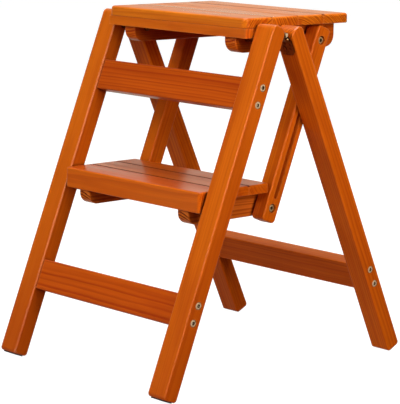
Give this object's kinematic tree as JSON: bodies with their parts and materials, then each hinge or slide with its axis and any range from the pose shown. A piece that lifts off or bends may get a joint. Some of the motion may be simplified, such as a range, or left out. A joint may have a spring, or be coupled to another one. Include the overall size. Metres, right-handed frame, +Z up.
{
  "type": "folding step stool",
  "caption": "Folding wooden step stool: slatted seat and lower step hung between hinged front and rear leg frames, joined by slotted link bars so that it folds flat.",
  "frame": {"origin": "middle of the footprint, on the floor", "axes": "+X along the steps to the right as seen from the front, +Y from the front to the back, +Z up"},
  "size_m": [0.354, 0.4736, 0.504],
  "materials": {
    "wood": "honey stain under clear gloss varnish",
    "steel": "zinc plated",
    "brass": "pale brass plated",
    "rubber": "matt black"
  },
  "bodies": {
    "front_frame": {"front_leg_left": "wood", "front_leg_right": "wood", "front_upper_rail": "wood", "front_lower_rail": "wood", "front_rail_screws": "steel", "front_barrel_nuts": "steel", "front_foot_pad_left": "rubber", "front_foot_pad_right": "rubber", "hinge_leaf_front_left": "brass", "hinge_leaf_front_right": "brass", "hinge_pins": "brass", "hinge_screws_front": "brass", "seat_pivot_bolts": "steel", "seat_pivot_sleeves": "steel", "step_pivot_bolts": "steel", "step_pivot_sleeves": "steel"},
    "seat": {"seat_front_slat": "wood", "seat_second_slat": "wood", "seat_third_slat": "wood", "seat_rear_slat": "wood", "seat_apron": "wood", "seat_bearer_left": "wood", "seat_bearer_right": "wood", "seat_slat_screws": "steel", "seat_link_bolts": "brass", "seat_link_washers": "steel", "seat_link_nuts": "steel"},
    "step": {"step_front_board": "wood", "step_middle_slat": "wood", "step_rear_slat": "wood", "step_bearer_left": "wood", "step_bearer_right": "wood", "step_slat_screws": "steel", "step_link_bolts": "brass", "step_link_washers": "steel", "step_link_nuts": "steel"},
    "links": {"link_bar_left": "wood", "link_bar_right": "wood"},
    "guide_pins": {"guide_pin_left": "steel", "guide_pin_right": "steel"},
    "rear_frame": {"rear_leg_left": "wood", "rear_leg_right": "wood", "rear_rail": "wood", "rear_rail_screws": "steel", "rear_barrel_nuts": "steel", "rear_foot_pad_left": "rubber", "rear_foot_pad_right": "rubber", "hinge_leaf_rear_left": "brass", "hinge_leaf_rear_right": "brass", "hinge_screws_rear": "brass"}
  },
  "joints": [
    {"name": "seat_fold", "type": "hinge", "parent": "front_frame", "child": "seat", "pos_m": [0, -0.03447, 0.474], "axis": [1, 0, 0], "range_deg": [0, 57.28]},
    {"name": "step_fold", "type": "hinge", "parent": "front_frame", "child": "step", "pos_m": [0, -0.12592, 0.243], "axis": [1, 0, 0], "range_deg": [0, 57.28]},
    {"name": "link_turn", "type": "hinge", "parent": "seat", "child": "links", "pos_m": [0, 0.08803, 0.467], "axis": [1, 0, 0], "range_deg": [-57.28, 0]},
    {"name": "rear_fold", "type": "hinge", "parent": "front_frame", "child": "rear_frame", "pos_m": [0, -0.01826, 0.48165], "axis": [1, 0, 0], "range_deg": [-46.9, 0]},
    {"name": "pin_slide", "type": "slide", "parent": "links", "child": "guide_pins", "axis": [0, -0.3681, -0.9298], "range_m": [0, 0.13339]}
  ],
  "couplings": [
    {"joint": "step_fold", "follows": "seat_fold", "ratio": 1},
    {"joint": "link_turn", "follows": "seat_fold", "ratio": -1},
    {"joint": "rear_fold", "follows": "seat_fold", "ratio": -0.81882},
    {"joint": "pin_slide", "follows": "seat_fold", "m_per_rad": 0.13343}
  ]
}
